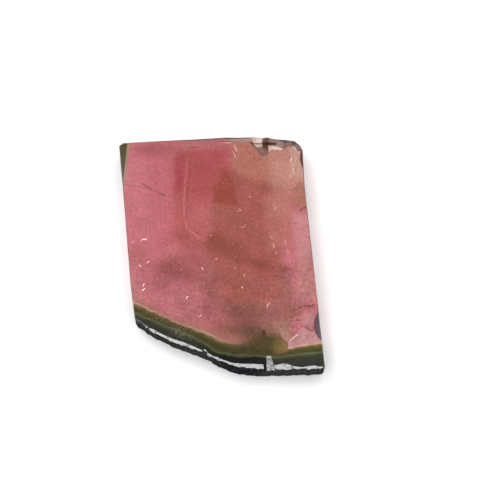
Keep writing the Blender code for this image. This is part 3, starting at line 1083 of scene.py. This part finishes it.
# %% Roughness from place to place
POLISH, SAWN, GROWN, FILMED = 0.07, 0.3, 0.14, 0.5
SHINY_FACE, BEVEL_TURNS = (0.68, 0.76), (0.99, 0.97)
SCUFF_GRAIN, SCUFF_DEPTH = (0.14, 3.0, (0.4, 1.6, 1.0)), (0.52, 0.64, 0.0, 0.4)
DULL_LEFT, DULL_RIGHT = (-6.2, -6.6, 0.0, 0.5), (3.3, 3.6, 0.0, 0.07)
STEP_FACET = ((3.6, -9.8), (4.3, -9.8), (4.3, -8.5), (3.6, -8.5))
STEP_SOFTNESS, STEP_DULL = 0.04, (0.35, 0.65, 0.12, 0.3)


def roughness_of(in_mm, flat, upright, ridges, rind, film):
    x = part(flat, 0)
    polished = ease(upright, *SHINY_FACE)
    side = scale(rind, 0.0, 1.0, SAWN, GROWN)
    bevel = times(ease(upright, *BEVEL_TURNS), rind)
    scuffs = ease(grain(in_mm, *SCUFF_GRAIN), *SCUFF_DEPTH)
    dull = calc("ADD", ease(x, *DULL_LEFT), ease(x, *DULL_RIGHT))
    dull = calc("MAXIMUM", dull, times(patch(in_mm, STEP_FACET, STEP_SOFTNESS), ease(ridges, *STEP_DULL)))
    scuffs = times(bevel, calc("MAXIMUM", scuffs, dull))
    return mix(film, mix(polished, side, calc("ADD", scuffs, POLISH)), FILMED)


print("roughness: polish", POLISH, "rind's wall", GROWN, "sawn side", SAWN, "film", FILMED)


# %% [markdown]
# ## The stone's material
#
# One Principled shader makes the whole stone: a glass share for the light that goes through, a scattering
# share for the cloudy crystal, tourmaline's index of refraction, and plain absorption inside, so that thick
# parts glow deeper than thin ones. Bump adds the finest ridges to the wall. Smooth shading rounds the wall
# and the scoops, but stops at the rims of the flat faces, or their mirror would bend near its edge.

# %% Make the tourmaline
TOURMALINE_INDEX = 1.63
ABSORBED, ABSORPTION = (0.92, 0.2, 0.25, 1.0), 100.0
WALL_RIDGES = (0.22, 4.0, (1.0, 1.0, 0.08))
RIDGE_HEIGHT, RIDGE_STRENGTH = 0.12, 0.7
SHARP_ANGLE = math.radians(24)
FLAT = 0.9999


def tourmaline():
    material = bpy.data.materials.new("tourmaline")
    material.use_nodes = True
    tree = material.node_tree
    shader = tree.nodes["Principled BSDF"].inputs
    in_mm, flat, place = drawing_place(tree)
    upright = calc("ABSOLUTE", part(add("NewGeometry", tree=tree, out=1), 2))
    colour, rind, bulge, film = stone_colour(in_mm, flat, place, upright)
    feed(shader["Base Color"], colour)
    cloudy = calc("MAXIMUM", rind, bulge)
    feed(shader["Transmission Weight"], scale(cloudy, 0.0, 1.0, CLEARNESS, RIND_CLEARNESS))
    ridges = grain(in_mm, *WALL_RIDGES)
    feed(shader["Roughness"], roughness_of(in_mm, flat, upright, ridges, rind, film))
    feed(shader["IOR"], TOURMALINE_INDEX)

    bump = add("Bump", tree=tree)
    feed(bump.node.inputs["Strength"], RIDGE_STRENGTH)
    feed(bump.node.inputs["Distance"], RIDGE_HEIGHT * MM)
    feed(bump.node.inputs["Height"], times(ridges, times(ease(upright, *WALL_STANDS), rind)))
    feed(shader["Normal"], bump)

    absorption = add("VolumeAbsorption", ABSORBED, ABSORPTION, tree=tree)
    feed(tree.nodes["Material Output"].inputs["Volume"], absorption)
    return material


def smooth_but_crisp(mesh):
    """Smooth shading that stops at every sharp angle and at the rims of the two flat faces."""
    mesh.shade_smooth()
    mesh.set_sharp_from_angle(angle=SHARP_ANGLE)
    for face in mesh.polygons:
        if abs(face.normal.z) > FLAT:
            for corner in face.loop_indices:
                mesh.edges[mesh.loops[corner].edge_index].use_edge_sharp = True


stone.data.materials.clear()
stone.data.materials.append(tourmaline())
smooth_but_crisp(stone.data)
print(len(stone.data.materials[0].node_tree.nodes), "nodes in the stone's material")

# %% [markdown]
# ## Cracks, glints and specks
#
# Three small things live at the face: hair cracks that look dark, short fractures that catch the light,
# and specks of other minerals. A crack is really a thin sheet that dips into the stone and shows at the
# face as a line. So each one is a blade: a closed strip that stands a hair proud of the polish, to show
# crisply, and thins out downwards and towards its ends.

# %% Blades
PROUD = 0.004
THIN_END = 0.25
FOOT_ASIDE, FOOT_WIDTH = 0.25, 0.3
SHADE_TURNS = (0.35, 0.65)


def blade(body, points, width, depth):
    """Adds a closed strip to a bmesh: full width in its middle, and thin at its ends and its foot."""
    last = len(points) - 1
    sections = []
    for i, middle in enumerate(points):
        ahead = points[min(i + 1, last)] - points[max(i - 1, 0)]
        side = Vector((-ahead.y, ahead.x)).normalized()
        half = width / 2 * (THIN_END if i in (0, last) else 1.0)
        foot = middle + side * depth * FOOT_ASIDE
        tops = [middle + side * half, middle - side * half]
        feet = [foot - side * half * FOOT_WIDTH, foot + side * half * FOOT_WIDTH]
        ring = [(*top, THICKNESS + PROUD) for top in tops] + [(*low, THICKNESS - depth) for low in feet]
        sections.append([body.verts.new(Vector(corner) * MM) for corner in ring])
    for first, second in zip(sections, sections[1:]):
        for i in range(4):
            body.faces.new((first[i], first[i - 1], second[i - 1], second[i]))
    body.faces.new(sections[0])
    body.faces.new(sections[-1][::-1])


def divided(points, step, jitter, dice):
    """Points along a line, a step apart, each moved sideways by a little."""
    spots = [Vector(points[0])]
    for start, end in zip(points, points[1:]):
        run = Vector(end) - Vector(start)
        pieces = max(1, round(run.length / step))
        for i in range(1, pieces + 1):
            shake = Vector((dice.uniform(-1, 1), dice.uniform(-1, 1))) * jitter
            spots.append(Vector(start) + run * i / pieces + shake)
    return spots


def piece_from(name, body, material):
    """Makes a piece of a bmesh in metres, with its normals outwards."""
    bmesh.ops.recalc_face_normals(body, faces=body.faces)
    return mesh_from(name, body, material)


def streaky(name, dark, light, roughness, size):
    """A dull material whose colour wanders between two shades."""
    material = plain_material(name, dark, roughness)
    tree = material.node_tree
    here = vector("MULTIPLY", add("TexCoord", tree=tree, out=3), (1 / MM,) * 3)
    colour = over((*dark, 1.0), (*light, 1.0), ease(grain(here, size), *SHADE_TURNS))
    feed(tree.nodes["Principled BSDF"].inputs["Base Color"], colour)
    return material


print("blades stand", PROUD, "mm proud of the polish")


# %% [markdown]
# ## Where the cracks run
#
# The long cracks start at an edge and die out inside, and the short ones lie near the corner that broke off,
# where the crystal was strained. Dividing a line and moving each point a little makes it look torn instead
# of ruled. The dice are seeded, so a crack is the same every time.

# %% Cracks
CRACK_STEP, CRACK_JITTER = 0.16, 0.022
HAIR_CRACKS_AND_SHADE_LINE = (
    # width, depth, points
    (0.045, 0.4, ((-8.15, 5.85), (-7.25, 5.7), (-6.75, 5.66), (-6, 5.36), (-5.4, 5.2), (-4.7, 4.85))),
    (0.095, 0.4, ((-6.75, 5.96), (-6.3, 5.68), (-5.83, 5.45))),
    (0.085, 0.4, ((-5.17, 5.1), (-4.67, 4.76))),
    (0.028, 0.3, ((-4.6, 4.82), (-3.08, 4.76), (-1.42, 4.76))),
    (0.095, 0.3, ((-2.08, 5.28), (-1.75, 5.02))),
    (0.08, 0.3, ((-3, 8.95), (-2.4, 9.05), (-1.9, 8.98))),
    (0.055, 0.3, ((-4.9, 8.95), (-4.4, 9), (-3.9, 8.9))),
    (0.055, 0.5, ((5.42, 5.42), (5.75, 5.3), (6.05, 5.42), (6.3, 5.8), (6.7, 6.05))),
    (0.16, 0.5, ((6.42, 3.52), (6.75, 3.78), (7.04, 3.91))),
    (0.11, 0.4, ((7.12, -1.31), (7.48, -1.46))),
    (0.15, 0.5, ((6.25, -4.73), (6.75, -4.47), (7.25, -4.56), (7.75, -4.39))),
    (0.085, 0.4, ((6.6, -6.1), (7.17, -6.44), (7.5, -6.7))),
    (0.085, 0.4, ((4.6, -6.72), (5.08, -7.3), (5.4, -7.62))),
    (0.045, 0.3, ((5.42, -7.6), (5.44, -8.1))),
    (0.06, 0.3, ((4.2, -2.05), (4.7, -2), (5.1, -2.12), (5.5, -2))),
    (0.05, 0.3, ((3.6, -5.2), (4.1, -5), (4.5, -5.1))),
    (0.12, 0.2, ((5.45, -5.35), (5.65, -5.46), (5.85, -5.4))),
    (0.105, 0.2, ((5.8, -4.88), (6, -4.78), (6.2, -4.82))),
    (0.13, 0.2, ((6.05, -5.76), (6.25, -5.66), (6.5, -5.72))),
    (0.095, 0.2, ((5.55, -5.95), (5.8, -5.88))),
    (0.11, 0.2, ((4.72, -6.12), (4.95, -6.3))),
    (0.09, 0.2, ((3.2, -6.02), (3.5, -6.12))),
    (0.07, 0.2, ((1.5, -4.92), (1.95, -4.84))),
    (0.06, 0.2, ((2.6, -5.55), (2.85, -5.62))),
    (0.06, 0.2, ((0.1, -3.45), (0.3, -3.6))),
    # painted shade: the dark line of the top bevel's shading, made as a crack blade
    (0.07, 0.2, ((-0.7, 9.56), (0.3, 9.57), (0.9, 9.5))),
    (0.06, 0.2, ((4.9, -1.62), (5.3, -1.52))),
)
PALE_CRACKS_AND_GLINT_LINE = (
    # painted highlight: the glint line right of the olive bulge
    (0.045, 0.3, ((5.5, -7.5), (5.92, -7.13), (6.25, -6.87))),
    (0.03, 0.2, ((1.02, 9.3), (1.12, 8.95), (1.3, 8.61))),
    (0.025, 0.2, ((0.86, 8.75), (1.1, 8.3), (1.15, 8.1))),
)


def cracks(name, lines, material, dice, step=CRACK_STEP, jitter=CRACK_JITTER):
    """One piece with a blade along each line."""
    body = bmesh.new()
    for width, depth, points in lines:
        blade(body, divided(points, step, jitter, dice), width, depth)
    return piece_from(name, body, material)


# the dark cracks' own colour, which on the line along the top bevel is painted shade
dark_crack_and_shade = streaky("dark_crack_and_painted_shade", (0.09, 0.022, 0.02), (0.25, 0.07, 0.065), 0.8, 0.2)
# the pale streaks' own colour, which on the bright glints and the glint line is a painted highlight
fracture = streaky("pale_streak_and_painted_glint", (0.7, 0.46, 0.42), (0.9, 0.82, 0.78), 0.35, 0.12)
crack_piece = cracks("hair_cracks_and_shade_line", HAIR_CRACKS_AND_SHADE_LINE, dark_crack_and_shade, random.Random(3))
pale_piece = cracks("pale_cracks_and_glint_line", PALE_CRACKS_AND_GLINT_LINE, fracture, random.Random(5))
print(len(crack_piece.data.polygons) + len(pale_piece.data.polygons), "faces in cracks")

# %% [markdown]
# ## Glints
#
# A fracture that faces the light flashes white, and a deeper one glows peach. Both are painted highlights:
# short blades, bowed a little by the dice, in a pale finish that stands for the flash, so they stay put
# where a mirror's flash would jump.

# %% Glints
GLINT_DEPTH = 0.06
GLINT_STEP, GLINT_JITTER, GLINT_BOW = 0.08, 0.012, 0.5
BRIGHT_GLINTS = (
    # x, y, length, width, turn
    (-6.42, 1.17, 0.46, 0.085, 4), (-6.62, 1.05, 0.16, 0.05, 50), (-6.08, -0.8, 0.34, 0.06, 42),
    (-6.75, -1.14, 0.26, 0.06, -38), (-6.42, -2.72, 0.28, 0.06, 62), (-6.42, -3.11, 0.42, 0.07, 38),
    (-2.83, -3.79, 0.3, 0.075, 55), (-1.62, -1.35, 0.24, 0.07, -50), (1.67, -2.94, 0.2, 0.075, 85),
    (3.75, -4.47, 0.36, 0.045, 75), (-1.75, -5.33, 0.26, 0.055, 30), (5.92, 7.07, 0.34, 0.045, 85),
    (5.75, 7.93, 0.4, 0.05, 78),
)
DIM_GLINTS = (
    (-7.33, 0.91, 0.24, 0.06, -20), (-7.17, -4.05, 0.32, 0.07, 42), (-1.5, -2.59, 0.16, 0.06, 45),
    (-0.42, -0.54, 0.28, 0.06, 38), (1.08, -1.31, 0.22, 0.07, -50), (1.83, -1.91, 0.22, 0.07, 80),
    (1.35, 3.55, 0.22, 0.06, 10), (1.5, 3.66, 0.24, 0.055, -60), (2.33, 4.78, 0.26, 0.06, -50),
    (1.75, 2.15, 0.26, 0.055, 15), (1.95, 2.32, 0.2, 0.05, 75), (4.3, 4.05, 0.2, 0.05, 20),
    (4.46, 3.78, 0.28, 0.06, 75), (4.1, 1.3, 0.4, 0.045, -68), (4.3, 0.6, 0.46, 0.055, -72),
    (4.52, 0, 0.3, 0.045, -70), (5.25, 0.9, 0.44, 0.05, -75), (5.42, 0.1, 0.4, 0.055, -75),
    (5.62, -0.7, 0.34, 0.045, -72), (3.9, -4.25, 0.24, 0.05, -60), (5.88, 7.5, 0.3, 0.06, -20),
    (5.7, 6.7, 0.34, 0.05, 80), (-3.35, -1.45, 0.22, 0.045, 55), (-0.9, 1.5, 0.2, 0.045, 10),
    # painted highlight: the pale line of the top bevel's shading
    (0.45, 9.44, 0.8, 0.05, -3),
)


def bowed(places, dice):
    """Each glint as a short line, bowed a little."""
    for x, y, length, width, turn in places:
        along = Vector((math.cos(math.radians(turn)), math.sin(math.radians(turn)))) * length / 2
        bow = Vector((-along.y, along.x)) * dice.uniform(-GLINT_BOW, GLINT_BOW)
        middle = Vector((x, y))
        yield width, GLINT_DEPTH, (middle - along, middle + bow, middle + along)


def glints(name, places, material, seed):
    dice = random.Random(seed)
    return cracks(name, bowed(places, dice), material, dice, GLINT_STEP, GLINT_JITTER)


# the dim glints' peach is a painted highlight
dim_glint_paint = streaky("peach_painted_glint", (0.5, 0.2, 0.15), (0.68, 0.36, 0.28), 0.6, 0.12)
bright_piece = glints("bright_glints", BRIGHT_GLINTS, fracture, 7)
dim_piece = glints("dim_glints", DIM_GLINTS, dim_glint_paint, 9)
print(len(bright_piece.data.polygons) + len(dim_piece.data.polygons), "faces in glints")

# %% [markdown]
# ## Specks
#
# Specks are scattered by a seeded dice roll, so they fall in the same places every time. Most sit in the
# middle and lower part of the heart, where the crystal grew fastest and caught more from the liquid.

# %% Scatter the specks
SPECK_FIELDS = (
    # count, centre, spread
    (90, (1.8, -3.2), (2.6, 2.4)),
    (80, (-3.6, -3.2), (2.2, 1.6)),
    (34, (-3.8, -1.5), (1, 0.5)),
    (36, (2.6, 2.2), (2.4, 2.4)),
    (34, (-4.5, 5), (2.4, 2.8)),
    (40, (4.6, -5.2), (1.4, 0.9)),
    (24, (-3, -5.6), (2.4, 0.8)),
    (30, (1.5, 0.2), (0.3, 0.35)),
    (16, (-0.3, -1), (0.5, 0.5)),
)
HEART_X, HEART_Y = (-6.9, 6.2), (-6.2, 8.6)
# where the rind's slant passes, and how steeply it falls
SLANT_X, SLANT_Y, SLANT_FALL = -1.2, -6.9, 0.45
SPECK_LENGTH, SPECK_WIDTH, SPECK_HEIGHT = (1.0, 1.9), (0.5, 0.9), 0.25
SPECK_SINKS = 0.2


def in_heart(x, y):
    """Whether a speck is well inside the pink: off the sawn edges and above the slanting rind."""
    above_rind = y > SLANT_Y - SLANT_FALL * (x - SLANT_X)
    return HEART_X[0] < x < HEART_X[1] and HEART_Y[0] < y < HEART_Y[1] and above_rind


def specks(name, material, seed, sizes, share):
    """Flat grains at the face. Each field is a cloud that thins out from its centre."""
    dice = random.Random(seed)
    body = bmesh.new()
    for count, centre, spread in SPECK_FIELDS:
        for _ in range(round(count * share)):
            x, y = (dice.gauss(middle, width) for middle, width in zip(centre, spread))
            radius = sizes[0] + (sizes[1] - sizes[0]) * dice.random() ** 2
            turn = Matrix.Rotation(dice.uniform(0, math.tau), 4, "Z")
            if not in_heart(x, y):
                continue
            sides = (dice.uniform(*SPECK_LENGTH), dice.uniform(*SPECK_WIDTH), SPECK_HEIGHT)
            shape = Matrix.Diagonal((*sides, 1.0))
            place = Matrix.Translation(Vector((x, y, THICKNESS - SPECK_SINKS * radius)) * MM)
            bmesh.ops.create_icosphere(body, subdivisions=1, radius=radius * MM, matrix=place @ turn @ shape)
    return piece_from(name, body, material)


speck_dark = streaky("speck_dark", (0.16, 0.04, 0.045), (0.3, 0.09, 0.09), 0.8, 0.2)
speck_pale = streaky("speck_pale", (0.7, 0.3, 0.22), (0.78, 0.42, 0.33), 0.4, 0.2)
dark_piece = specks("dark_specks", speck_dark, 11, (0.03, 0.1), 1.0)
orange_piece = specks("pale_specks", speck_pale, 23, (0.026, 0.055), 0.5)
print(len(dark_piece.data.polygons) + len(orange_piece.data.polygons), "faces in specks")

# %% [markdown]
# ## Hand over
#
# Each piece rides on the part's one body, and the plain solid is hidden.

# %% Ride, replace and finish
for piece in (stone, crack_piece, pale_piece, bright_piece, dim_piece, dark_piece, orange_piece):
    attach(piece, "root")
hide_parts("tourmaline_slice")
